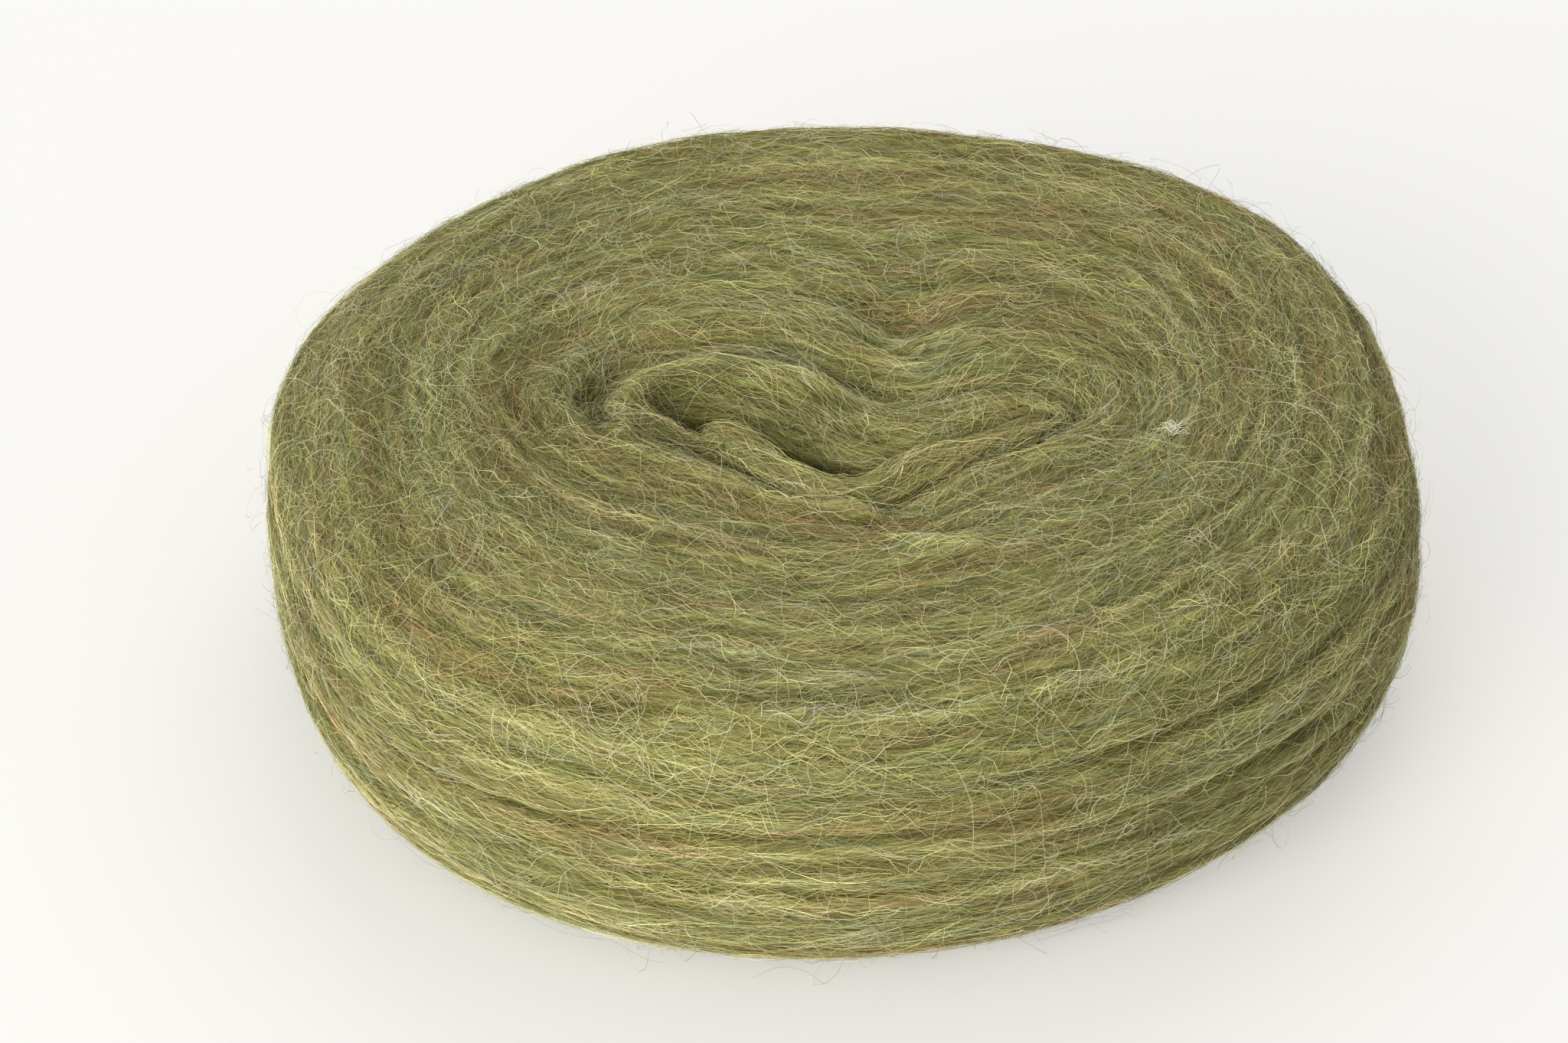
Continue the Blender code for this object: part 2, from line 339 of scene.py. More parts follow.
def side_rings():
    """The rounded side as rings from the top face's edge to the base's edge."""
    rings = []
    for lean in np.linspace(0.5 * math.pi, -0.5 * math.pi, SIDE_STEPS):
        upper = lean > 0.0
        fullness = UPPER_FULLNESS if upper else LOWER_FULLNESS
        half = UPPER_HALF if upper else LOWER_HALF
        out = EDGE_REACH * abs(math.cos(lean)) ** (2.0 / fullness)
        rise = half * math.copysign(abs(math.sin(lean)) ** (2.0 / fullness), lean)
        rings.append(round_ring(RADIUS - EDGE_REACH + out, LOWER_HALF + rise))
    return rings


def hollow(lip, pockets, steps, direction):
    """Rings from a lip down to the seam of its slot, seam last."""
    middle = 0.5 * (lip + np.roll(lip[::-1], 1, axis=0))
    depth = sum(p.depth * np.exp(-((middle[:, 0] - p.x) / p.half_length) ** 2) for p in pockets)
    backness = smooth_step(lip[:, 1] - middle[:, 1], -SHOULDER_BLEND, SHOULDER_BLEND)
    shoulder = FRONT_SHOULDER + (BACK_SHOULDER - FRONT_SHOULDER) * backness
    rings = []
    for k in range(1, steps + 1):
        t = k / steps
        ring = middle + (lip - middle) * (1.0 - (1.0 - SEAM_WIDTH) * t)
        ring[:, 2] = lip[:, 2] + direction * depth * t ** shoulder
        rings.append(ring)
    return rings


def open_lip(lip):
    """Keep the lip's back and front edges apart where the slot is only a crease."""
    other = np.roll(lip[::-1], 1, axis=0)
    half_gap = 0.5 * (lip[:, 1] - other[:, 1])
    side = np.sign(np.round(half_gap, 6))
    middle = 0.5 * (lip[:, 1] + other[:, 1])
    lip[:, 1] = middle + side * np.maximum(np.abs(half_gap), 0.5 * SLOT_MIN_GAP)
    return lip


def shifted_edges(points, place, angles):
    """The slot's edges moved forward, less and less on the rings further out."""
    fade = max(1.0 - place / SHIFT_ROWS, 0.0) ** 1.5
    backness = smooth_step(np.sin(angles), -0.3, 0.3)
    moved = np.zeros(len(points))
    for shift in EDGE_SHIFTS:
        along = (points[:, 0] - shift.x) / shift.half_length
        reach = shift.front + (shift.back - shift.front) * backness
        moved += reach * np.exp(-along ** 2)
    points[:, 1] -= fade * moved
    return points


def fold_depth(place, angles):
    """How far the folds lower the points of the ring at one place."""
    lowered = np.zeros(len(angles))
    for fold in FOLDS:
        turned = (np.degrees(angles) - fold.direction + 180.0) % 360.0 - 180.0
        across = (place - fold.ring) / fold.half_width
        lowered += fold.depth * np.exp(-across ** 2 - (turned / fold.spread) ** 2)
    return lowered


def groove_depth(points, angles):
    """How far the grooves between bundles push each point of the side inwards."""
    out = np.linalg.norm(points[:, :2], axis=1)
    pushed = np.zeros(len(points))
    for groove in SIDE_GROOVES:
        level = groove.height + groove.drift * np.sin(angles - math.radians(groove.turn))
        facing = 0.5 + 0.5 * np.cos(angles - math.radians(groove.facing))
        strength = GROOVE_FAINT + (1.0 - GROOVE_FAINT) * facing
        pushed += groove.depth * strength * np.exp(-((points[:, 2] - level) / groove.half_width) ** 2)
    return pushed * smooth_step(out, GROOVES_START, GROOVES_FULL)


def unit(vectors):
    return vectors / np.maximum(np.linalg.norm(vectors, axis=-1, keepdims=True), 1e-9)


def grid_steps(grid):
    """Steps of the ring grid at each point: down the rows, and along the ring."""
    return np.gradient(grid, axis=0), 0.5 * (np.roll(grid, -1, axis=1) - np.roll(grid, 1, axis=1))


def outward(grid):
    """Unit normals of the ring grid."""
    return unit(np.cross(*grid_steps(grid)))


def lattice_noise(points, seed):
    """Smooth noise from 0 to 1 at points given in cells, the same each run."""
    cell = np.floor(points).astype(np.int64)
    part = points - cell
    part = part * part * (3.0 - 2.0 * part)
    total = np.zeros(points.shape[:-1])
    for corner in range(8):
        step = np.array([corner & 1, corner >> 1 & 1, corner >> 2 & 1])
        at = cell + step
        key = at[..., 0] * 73856093 ^ at[..., 1] * 19349663 ^ at[..., 2] * 83492791 ^ seed * 2654435
        key = (key ^ key >> 13) * 1274126177 & 0xFFFFFFFF
        value = (key ^ key >> 16) / 4294967295.0
        weight = np.prod(np.where(step == 1, part, 1.0 - part), axis=-1)
        total += weight * value
    return total


def flow_noise(flow, along, across, seed):
    """Noise from -0.5 to 0.5, in cells of the given sizes along and across the turns."""
    return lattice_noise(flow / (along, along, across), seed) - 0.5


def smooth_route(route):
    """Points on a smooth curve through a route's corners."""
    corner = np.array(route)
    padded = np.concatenate([2.0 * corner[:1] - corner[1:2], corner, 2.0 * corner[-1:] - corner[-2:-1]])
    points = []
    for corners in zip(padded, padded[1:], padded[2:], padded[3:]):
        points += [curve(*corners, t) for t in np.linspace(0.0, 1.0, ROUTE_STEPS, endpoint=False)]
    points.append(corner[-1])
    return np.array(points)


def route_distance(route, plan):
    """Distance in plan from each point to a route, and the route's direction there."""
    nearest = np.full(plan.shape[:2], np.inf)
    way = np.zeros(plan.shape)
    for start, end in zip(route, route[1:]):
        run = end - start
        t = np.clip(((plan - start) @ run) / (run @ run), 0.0, 1.0)
        away = np.linalg.norm(plan - start - t[..., None] * run, axis=2)
        closer = away < nearest
        nearest = np.where(closer, away, nearest)
        way = np.where(closer[..., None], run / np.linalg.norm(run), way)
    return nearest, way


class Plate:
    """The fine loft: its points, smooth normals, steps and shade, and places in the winding."""

    def __init__(self):
        angles = np.linspace(0.0, 2.0 * math.pi, POINTS_ROUND, endpoint=False)
        side = side_rings()
        top = []
        for place, ring in between(TOP_RINGS + (side[0],)):
            points = ring_points(ring, angles)
            points[:, 2] -= fold_depth(place, angles)
            top.append(shifted_edges(points, place, angles))
        base_edge = round_ring(side[-1].reach, 0.0, BASE_EDGE_STEPS)
        base = [ring_points(ring, angles) for place, ring in between((base_edge,) + BASE_RINGS)[1:]]
        top[0] = open_lip(top[0])
        base_lip = open_lip(ring_points(BASE_RINGS[-1], angles))
        rows = hollow(top[0], SLOT_POCKETS, WALL_STEPS, -1.0)[::-1]
        self.lip_row = len(rows)
        rows += top
        self.side_row = len(rows)
        rows += [ring_points(ring, angles) for ring in side]
        self.base_row = len(rows)
        rows += base
        rows += [base_lip]
        rows += hollow(base_lip, BASE_POCKETS, CREASE_STEPS, 1.0)
        grid = np.array(rows)
        for row, normal in zip(grid, outward(grid)):
            row -= groove_depth(row, angles)[:, None] * normal
        flat = grid.reshape(-1, 3)
        low = flat.min(axis=0)
        high = flat.max(axis=0)
        grid -= np.array([0.5 * (low[0] + high[0]), 0.5 * (low[1] + high[1]), low[2]])
        self.angles = angles
        self.smooth_grid = grid
        self.measure(grid)
        self.on_side = self.measure_side()
        self.raise_turns()

    def measure(self, grid):
        """Arc length across the rings and the radius that each ring's length stands for."""
        steps = np.linalg.norm(np.diff(grid, axis=0), axis=2).mean(axis=1)
        self.across = np.concatenate([[0.0], np.cumsum(steps)])
        lengths = np.linalg.norm(np.roll(grid, -1, axis=1) - grid, axis=2).sum(axis=1)
        self.ring_radius = lengths / (2.0 * math.pi)

    def flow(self):
        """Places in the winding: round it at the ring's radius, and across it."""
        radius = self.ring_radius[:, None]
        round_x = radius * np.cos(self.angles)[None]
        round_y = radius * np.sin(self.angles)[None]
        across = np.broadcast_to(self.across[:, None], round_x.shape)
        return np.stack([round_x, round_y, across], axis=-1)

    def measure_side(self):
        """The side, from just over the base to the edge of the top."""
        height = self.smooth_grid[..., 2]
        return smooth_step(-height, -SIDE_TOP - SIDE_BLEND, -SIDE_TOP) * smooth_step(height, 0.5, 5.0)

    def turn_relief(self, flow):
        """How high the single turns and their lumps stand, as uneven as hand-laid roving."""
        wobble = flow_noise(flow, 50.0, 8.0, 3)
        wobble += 0.4 * flow_noise(flow, 18.0, 5.0, 4)
        phase = (flow[..., 2] + TURN_WOBBLE * wobble) / TURN_PITCH - self.angles[None] / (2.0 * math.pi)
        crest = np.abs(np.cos(math.pi * phase)) ** 0.7
        on_side = self.on_side
        facing = 0.5 + 0.5 * np.cos(self.angles[None] - math.radians(TURNS_FACING))
        relief = TURN_RELIEF_TOP
        relief = relief + (TURN_RELIEF_SIDE - relief) * on_side * (0.5 + 0.5 * facing)
        strength = 0.15 + smooth_step(lattice_noise(flow / (60.0, 60.0, 5.5), 5), 0.2, 0.8)
        lumps = flow_noise(flow, 15.0, 3.4, 6)
        lumps += 0.7 * flow_noise(flow, 8.0, 1.9, 7)
        lumps += 0.4 * flow_noise(flow, 5.5, 1.3, 18)
        long_streaks = flow_noise(flow, 75.0, 3.4, 16)
        long_streaks += 0.5 * flow_noise(flow, 50.0, 1.6, 17)
        loose = LUMP_RELIEF * (1.0 - on_side) * lumps + STREAK_RELIEF * on_side * long_streaks
        return relief * strength * (crest - 0.7) + loose

    def lock_relief(self):
        """How high the locks round the slot stand, and the way in which they run."""
        plan = self.smooth_grid[..., :2]
        relief = np.zeros(plan.shape[:2])
        grip = np.zeros(plan.shape[:2])
        way = np.zeros(plan.shape)
        for lock in LOCKS:
            route = smooth_route(lock.route)
            away, along = route_distance(route, plan)
            relief += lock.rise * np.exp(-(away / lock.half_width) ** 2)
            hold = np.exp(-(away / LOCK_GRIP) ** 2)
            nearer = (hold > grip)[..., None]
            way = np.where(nearer, along, way)
            grip = np.maximum(grip, hold)
        on_top = smooth_step(self.smooth_grid[..., 2], LOCK_LEVEL, LOCK_LEVEL + 8.0)
        return relief * on_top, grip * on_top, way

    def raise_turns(self):
        """Raise the turns and locks, and note the painted shade between them and the tone of the wool.
        """
        grid = self.smooth_grid.copy()
        flow = self.flow()
        locks, self.lock_grip, self.lock_way = self.lock_relief()
        raised = self.turn_relief(flow) + locks
        self.raised = raised
        above = smooth_step(grid[..., 2], 0.3, 5.0)
        self.smooth_normals = outward(grid)
        grid += self.smooth_normals * ((raised - MASS_SINK) * above)[..., None]
        grid[..., 2] = np.maximum(grid[..., 2], 0.02)
        self.grid = grid
        down, along = grid_steps(grid)
        self.row_step = np.linalg.norm(down, axis=2)
        along_step = np.linalg.norm(along, axis=2)
        self.row_way = unit(down)
        self.angle_way = unit(along)
        self.angle_step = along_step * POINTS_ROUND / (2.0 * math.pi)
        self.area = self.row_step * self.angle_step
        self.shade = self.measure_shade(raised, flow)

    def measure_shade(self, raised, flow):
        """Tone of the wool: uneven, with painted shade between turns and down in the slot, and painted
        light on crests.
        """
        level = self.level_round(raised)
        # Painted shade in the hollows, painted light on the crests
        hollows = np.clip(1.0 + HOLLOW_PAINTED_SHADE * (raised - level), SHADE_LOW, SHADE_HIGH)
        tone = flow_noise(flow, 42.0, 3.4, 8)
        tone += 0.5 * flow_noise(flow, 60.0, 10.0, 9)
        tone += 1.4 * self.on_side * flow_noise(flow, 90.0, 7.0, 10)
        # Painted light on the side towards the front left, painted shade on the far side
        painted_light_by_facing = np.cos(self.angles - math.radians(PAINTED_SIDE_LIGHT_FACING)) - PAINTED_SIDE_LIGHT_LEVEL
        tone += PAINTED_SIDE_LIGHT * self.on_side * painted_light_by_facing[None]
        # Painted shade where the top's turns run towards the viewer, painted light where they run
        # across
        tone -= END_ON_PAINTED_SHADE * (1.0 - self.on_side) * (np.cos(2.0 * self.angles) + 0.5)[None]
        # Painted shade down in the slot, under its lip
        lip = self.smooth_grid[self.lip_row, :, 2]
        down = np.maximum(lip[None] - self.smooth_grid[..., 2], 0.0)
        inside = np.arange(len(self.grid))[:, None] <= self.lip_row
        pocket = np.where(inside, smooth_step(down, POCKET_LIP, POCKET_DEPTH), 0.0)
        return hollows * (1.0 + TONE * tone) * (1.0 - (1.0 - POCKET_PAINTED_SHADE) * pocket)

    def level_round(self, raised):
        """The mean height across a few millimetres of turns."""
        level = np.zeros_like(raised)
        for row, place in enumerate(self.across):
            near = np.abs(self.across - place) < HOLLOW_SPAN
            level[row] = raised[near].mean(axis=0)
        return level

    def sample(self, field, row, angle):
        """A field of the grid at places between its points."""
        row = np.clip(row, 0.0, len(self.grid) - 1.001)
        i = row.astype(int)
        part_row = (row - i)[..., None]
        turn = (angle / (2.0 * math.pi) * POINTS_ROUND) % POINTS_ROUND
        j = turn.astype(int) % POINTS_ROUND
        part_turn = (turn - np.floor(turn))[..., None]
        k = (j + 1) % POINTS_ROUND
        values = field if field.ndim == 3 else field[..., None]
        near = values[i, j] * (1.0 - part_turn) + values[i, k] * part_turn
        far = values[i + 1, j] * (1.0 - part_turn) + values[i + 1, k] * part_turn
        result = near * (1.0 - part_row) + far * part_row
        return result if field.ndim == 3 else result[..., 0]


def mesh_object(name, vertices, quads):
    """A mesh of quads from arrays, with vertices in millimetres."""
    mesh = bpy.data.meshes.new(name)
    mesh.vertices.add(len(vertices))
    mesh.vertices.foreach_set("co", (vertices * MM).astype(np.float32).ravel())
    mesh.loops.add(quads.size)
    mesh.loops.foreach_set("vertex_index", quads.astype(np.int32).ravel())
    mesh.polygons.add(len(quads))
    mesh.polygons.foreach_set("loop_start", np.arange(0, quads.size, 4, dtype=np.int32))
    mesh.update(calc_edges=True)
    mesh.shade_smooth()
    piece = bpy.data.objects.new(name, mesh)
    bpy.context.scene.collection.objects.link(piece)
    return piece


def add_float(piece, name, values):
    layer = piece.data.attributes.new(name, "FLOAT", "POINT")
    layer.data.foreach_set("value", np.ascontiguousarray(values, dtype=np.float32).ravel())


def add_vector(piece, name, values):
    layer = piece.data.attributes.new(name, "FLOAT_VECTOR", "POINT")
    layer.data.foreach_set("vector", np.ascontiguousarray(values, dtype=np.float32).ravel())


def add_map(piece, corners):
    """The map through which the piece's colours are kept, given for each face corner."""
    layer = piece.data.uv_layers.new(name="OFBake")
    layer.data.foreach_set("uv", np.ascontiguousarray(corners, dtype=np.float32).ravel())


def dress(piece, material):
    piece.data.materials.append(material)
    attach(piece, BODY)


def wool_mass(plate, material):
    """The wound mass under the fibres, one closed body."""
    rows, points = plate.grid.shape[:2]
    i, j = np.meshgrid(np.arange(rows - 1), np.arange(points), indexing="ij")
    k = (j + 1) % points
    here = i * points
    below = here + points
    quads = np.stack([here + j, below + j, below + k, here + k], axis=-1).reshape(-1, 4)
    left = i / (rows - 1)
    corners = np.stack([
        np.stack([j / points, left], axis=-1),
        np.stack([j / points, left + 1.0 / (rows - 1)], axis=-1),
        np.stack([(j + 1) / points, left + 1.0 / (rows - 1)], axis=-1),
        np.stack([(j + 1) / points, left], axis=-1)], axis=2).reshape(-1, 2)
    half = points // 2
    strip = np.arange(1, half - 1)
    seam = np.stack([strip, strip + 1, points - strip - 1, points - strip], axis=-1)
    last = (rows - 1) * points
    seams = np.concatenate([seam, last + seam[:, ::-1]])
    seam_corners = np.repeat(np.linspace(0.0, 0.01, len(seams))[:, None, None], 4, axis=1)
    seam_corners = np.broadcast_to(seam_corners, (len(seams), 4, 2)).reshape(-1, 2)
    piece = mesh_object("wool_mass", plate.grid.reshape(-1, 3), np.concatenate([quads, seams]))
    add_vector(piece, "flow", plate.flow())
    add_float(piece, "shade", plate.shade)
    add_map(piece, np.concatenate([corners, seam_corners]))
    dress(piece, material)
    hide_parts(NODE)


def scatter(plate, count, rng, base_share):
    """Places spread evenly over the surface, as rows and angles."""
    weight = plate.area.copy()
    weight[plate.base_row - BASE_ROWS_UP:] *= base_share
    weight[0] = 0.0
    weight[-2:] = 0.0
    chance = np.cumsum(weight.ravel() / weight.sum())
    cells = np.minimum(np.searchsorted(chance, rng.random(count)), chance.size - 1)
    row = cells // POINTS_ROUND + rng.random(count) - 0.5
    angle = (cells % POINTS_ROUND + rng.random(count) - 0.5) * 2.0 * math.pi / POINTS_ROUND
    return row, angle


def trace(plate, row, angle, heading, turns, lengths):
    """Follow each fibre over the surface: rows and angles of its points."""
    rows = [row]
    angles = [angle]
    for turn in turns.T:
        heading = heading + turn
        row_step = np.maximum(plate.sample(plate.row_step, row, angle), LEAST_ROW_STEP)
        angle_step = np.maximum(plate.sample(plate.angle_step, row, angle), LEAST_ANGLE_STEP)
        row = np.clip(row + lengths * np.sin(heading) / row_step, 0.0, len(plate.grid) - 1.01)
        angle = angle + lengths * np.cos(heading) / angle_step
        rows.append(row)
        angles.append(angle)
    return np.stack(rows, axis=1), np.stack(angles, axis=1)


def ribbons(points, normals, width, roll):
    """Vertices and quads of flat, tapering ribbons along the given lines."""
    count, steps = points.shape[:2]
    tangent = unit(np.gradient(points, axis=1))
    side = unit(np.cross(normals, tangent))
    lift = np.cross(tangent, side)
    across = side * np.cos(roll)[:, None, None] + lift * np.sin(roll)[:, None, None]
    taper = 0.35 + 0.65 * np.sin(math.pi * np.linspace(0.06, 0.94, steps)) ** 0.5
    half = 0.5 * width[:, None, None] * taper[None, :, None] * across
    vertices = np.stack([points - half, points + half], axis=2).reshape(-1, 3)
    start = (np.arange(count)[:, None] * steps + np.arange(steps - 1)[None]) * 2
    quads = np.stack([start, start + 2, start + 3, start + 1], axis=-1).reshape(-1, 4)
    return vertices, quads


def cell_map(count, steps):
    """A small rectangle of the map for each ribbon."""
    side = math.ceil(math.sqrt(count))
    index = np.arange(count)
    left = (index % side + 0.12) / side
    low = (index // side + 0.12) / side
    reach = 0.76 / side
    t = np.linspace(0.0, 1.0, steps)
    x0 = left[:, None] + reach * t[None, :-1]
    x1 = left[:, None] + reach * t[None, 1:]
    y0 = np.broadcast_to(low[:, None], x0.shape)
    y1 = y0 + reach
    corners = np.stack([x0, y0, x1, y0, x1, y1, x0, y1], axis=-1)
    return corners.reshape(-1, 2)


def fibre_piece(name, points, normals, width, roll, dye, shade, material):
    """One mesh of fibres: a dye for each, and a shade for each or for each of its points."""
    count, steps = points.shape[:2]
    piece = mesh_object(name, *ribbons(points, normals, width, roll))
    add_float(piece, "dye", np.repeat(dye, 2 * steps))
    add_float(piece, "shade", np.repeat(np.broadcast_to(shade, (count, steps)), 2, axis=1))
    add_map(piece, cell_map(count, steps))
    dress(piece, material)


def wavy_turns(rng, count, segments, step, wave, drift):
    """Turns at each step of a fibre: a regular crimp and a slow drift."""
    length = rng.uniform(WAVE_LENGTH_LOW, WAVE_LENGTH_HIGH, count)
    start = rng.uniform(0.0, 2.0 * math.pi, count)
    place = np.arange(segments + 1)[None] * step[:, None]
    crimp = wave * rng.uniform(0.4, 1.3, (count, 1))
    crimp = crimp * np.sin(2.0 * math.pi * place / length[:, None] + start[:, None])
    return np.radians(np.diff(crimp, axis=1) + rng.normal(0.0, drift, (count, segments)))


def bridged(plate, rows, angles):
    """Points and normals of hairs that lie over the turns and bridge the hollows between them."""
    height = plate.sample(plate.raised, rows, angles) - MASS_SINK
    for _ in range(BRIDGE_ROUNDS):
        middle = 0.5 * (height[:, :-2] + height[:, 2:])
        height[:, 1:-1] = np.maximum(height[:, 1:-1], middle)
    normals = unit(plate.sample(plate.smooth_normals, rows, angles))
    points = plate.sample(plate.smooth_grid, rows, angles) + normals * height[..., None]
    return points, normals


def follow_locks(plate, row, angle, heading):
    """Turn the headings of fibres in a lock along the lock."""
    along_row = plate.sample(plate.row_way, row, angle)
    along_angle = plate.sample(plate.angle_way, row, angle)
    way = plate.sample(plate.lock_way, row, angle)
    grip = plate.sample(plate.lock_grip, row, angle)
    up = (way * along_row[:, :2]).sum(axis=1)
    forward = (way * along_angle[:, :2]).sum(axis=1)
    turned = np.arctan2(up * np.sign(forward), np.abs(forward) + 1e-6)
    return heading + grip * turned


def fibre_layer(plate, layer, material):
    """One layer of fibres that lie along the turns."""
    rng = np.random.default_rng(layer.seed)
    count = layer.count
    segments = layer.segments
    row, angle = scatter(plate, count, rng, FIBRE_BASE_SHARE)
    flow = plate.sample(plate.flow(), row, angle)
    lay = LAY_SWAY * flow_noise(flow, 20.0, 6.0, 21)
    forward = np.where(rng.random(count) < 0.5, 0.0, math.pi)
    height = plate.sample(plate.smooth_grid, row, angle)[:, 2]
    on_top = smooth_step(height, LOOSE_FROM_HEIGHT, LOOSE_TO_HEIGHT)
    loose = LOOSE_LEAST + LOOSE_MORE_ON_TOP * on_top
    heading = np.radians(loose * (lay + rng.normal(0.0, layer.sway, count)))
    heading = follow_locks(plate, row, angle, heading) + forward
    length = rng.uniform(layer.length_low, layer.length_high, count) * (1.5 - 0.45 * loose)
    step = length / segments
    turns = wavy_turns(rng, count, segments, step, layer.wave, layer.drift)
    turns *= np.minimum(0.25 + 0.75 * loose, 1.0)[:, None]
    rows, angles = trace(plate, row, angle, heading, turns, step)
    points, normals = bridged(plate, rows, angles)
    t = np.linspace(0.0, 1.0, segments + 1)
    level = rng.uniform(layer.low, layer.high, count)
    arch = 0.25 * rng.random(count)[:, None] * np.sin(math.pi * t)[None]
    ripple = rng.normal(0.0, 0.06, points.shape[:2])
    points = points + normals * (level[:, None] + arch + ripple + MASS_SINK * 0.5)[..., None]
    points[..., 2] = np.maximum(points[..., 2], LEAST_HEIGHT)
    width = layer.width * rng.uniform(0.7, 1.35, count)
    roll = rng.normal(0.0, FIBRE_ROLL, count)
    middle = plate.sample(plate.flow(), rows[:, segments // 2], angles[:, segments // 2])
    streak = flow_noise(middle, 30.0, 2.6, 31)
    patch = flow_noise(middle, 60.0, 9.0, 32)
    dye = np.clip(0.5 + 0.8 * streak + 0.35 * patch
                  + rng.normal(0.0, DYE_SPREAD, count), 0.0, 1.0)
    # Painted shade: a fibre set lower in its layer is darker, one set higher is lighter
    depth = (level - layer.low) / (layer.high - layer.low)
    shade = layer.shade * (0.9 + 0.16 * depth)
    shade = np.minimum(shade * np.exp(rng.normal(0.0, FIBRE_SHADE_SPREAD, count)), FIBRE_SHADE_MOST)
    # Each point also takes the mass's tone and its painted shade and light where it lies
    shade = shade[:, None] * plate.sample(plate.shade, rows, angles)
    fibre_piece(layer.name, points, normals, width, roll, dye, shade, material)


class Strand:
    """One loose strand of roving: its axis, its cross-sections and places on its surface."""

    def __init__(self):
        table = smooth_route(STRAND)
        steps = np.linalg.norm(np.diff(table[:, :3], axis=0), axis=1)
        length = np.concatenate([[0.0], np.cumsum(steps)])
        self.length = length[-1]
        self.place = np.linspace(0.0, self.length, STRAND_RINGS)
        self.table = np.stack([np.interp(self.place, length, column) for column in table.T], axis=1)
        axis = self.table[:, :3]
        along = unit(np.gradient(axis, axis=0))
        self.across = unit(np.cross(along, (0.0, 0.0, 1.0)))
        self.up = np.cross(self.across, along)

    def read(self, table, place):
        """Rows of a table at places between the strand's rings."""
        return np.stack([np.interp(place, self.place, column) for column in table.T], axis=-1)

    def surface(self, place, turn, lift):
        """Points and normals at places along the strand and turns round it."""
        at = self.read(self.table, place)
        across = self.read(self.across, place)
        up = self.read(self.up, place)
        flow = self.flow(place, turn)
        uneven = 1.0 + 0.7 * flow_noise(flow, 13.0, 2.6, 61)
        uneven += 0.35 * flow_noise(flow, 7.0, 1.2, 62)
        radius = at[..., 3] * uneven
        wide = (STRAND_WIDTH * radius + lift)[..., None] * np.cos(turn)[..., None] * across
        high = (radius + lift)[..., None] * np.sin(turn)[..., None] * up
        normal = np.cos(turn)[..., None] * across + STRAND_WIDTH * np.sin(turn)[..., None] * up
        return at[..., :3] + wide + high, unit(normal)

    def flow(self, place, turn):
        """Places in the strand as the streaks read them: along it and across it."""
        return np.stack([place, np.zeros_like(place), 200.0 + 3.0 * turn], axis=-1)

    def shade(self, turn):
        """Painted shade: the strand is darker underneath, where it meets the mass."""
        return 0.62 + 0.43 * smooth_step(np.sin(turn), -0.5, 0.7)


def strand_body(strand, material):
    """The strand under its fibres, thinner at its ends, which lie in the wool."""
    place, turn = np.meshgrid(strand.place, np.linspace(0.0, 2.0 * math.pi, STRAND_POINTS + 1),
                              indexing="ij")
    points, _ = strand.surface(place, np.where(turn < 2.0 * math.pi, turn, 0.0), -STRAND_SINK)
    rows, columns = place.shape
    i, j = np.meshgrid(np.arange(rows - 1), np.arange(columns - 1), indexing="ij")
    here = i * columns + j
    quads = np.stack([here, here + 1, here + columns + 1, here + columns], axis=-1).reshape(-1, 4)
    piece = mesh_object("loose_strand", points.reshape(-1, 3), quads)
    add_vector(piece, "flow", strand.flow(place, turn))
    add_float(piece, "shade", strand.shade(turn))
    u = place / strand.length
    v = turn / (2.0 * math.pi)
    corners = [np.stack([u[i + a, j + b], v[i + a, j + b]], axis=-1)
               for a, b in ((0, 0), (0, 1), (1, 1), (1, 0))]
    add_map(piece, np.stack(corners, axis=2).reshape(-1, 2))
    dress(piece, material)


def strand_fibres(strand, material):
    """Fibres that run along the loose strand with a slight twist."""
    rng = np.random.default_rng(71)
    count = STRAND_FIBRES
    t = np.linspace(0.0, 1.0, STRAND_SEGMENTS + 1)
    length = rng.uniform(9.0, 24.0, count)
    start = rng.uniform(-3.0, strand.length - 5.0, count)
    place = np.clip(start[:, None] + length[:, None] * t, 0.0, strand.length)
    slant = np.radians(rng.normal(5.0, 17.0, count))
    swing = rng.uniform(0.02, 0.16, (count, 1)) * np.sin(
        2.0 * math.pi * (place / rng.uniform(7.0, 14.0, (count, 1)) + rng.random((count, 1))))
    turn = rng.uniform(-0.6, math.pi + 0.6, count)[:, None]
    turn = turn + (length * np.tan(slant))[:, None] * t / STRAND_TWIST_RADIUS + swing
    level = rng.gamma(1.6, 0.22, count) - 0.2
    points, normals = strand.surface(place, turn, np.broadcast_to(level[:, None], place.shape))
    width = rng.uniform(0.06, 0.12, count)
    roll = rng.normal(0.0, FIBRE_ROLL, count)
    # Random tone of each fibre, times the strand's painted shade underneath
    shade = np.exp(rng.normal(0.05, FIBRE_SHADE_SPREAD, count))[:, None] * strand.shade(turn)
    dye = np.clip(rng.normal(0.45, 0.24, count), 0.0, 1.0)
    fibre_piece("strand_fibres", points, normals, width, roll, dye, shade, material)


# Stray hairs and fuzz
STRAY_COUNT = 1000
STRAY_SEGMENTS = 20
STRAY_SWAY = 50.0
STRAY_CURL = 7.0
STRAY_BEND = 3.0
STRAY_LOOSE_SHARE = 0.12
STRAY_LOOSE_LIFT = 3.2
FUZZ_COUNT = 4200
FUZZ_SEGMENTS = 6
TUFT_PLACE = (54.5, -14.6)
TUFT_HAIRS = 70
TUFT_SPREAD = 0.4
TUFT_SEGMENTS = 8


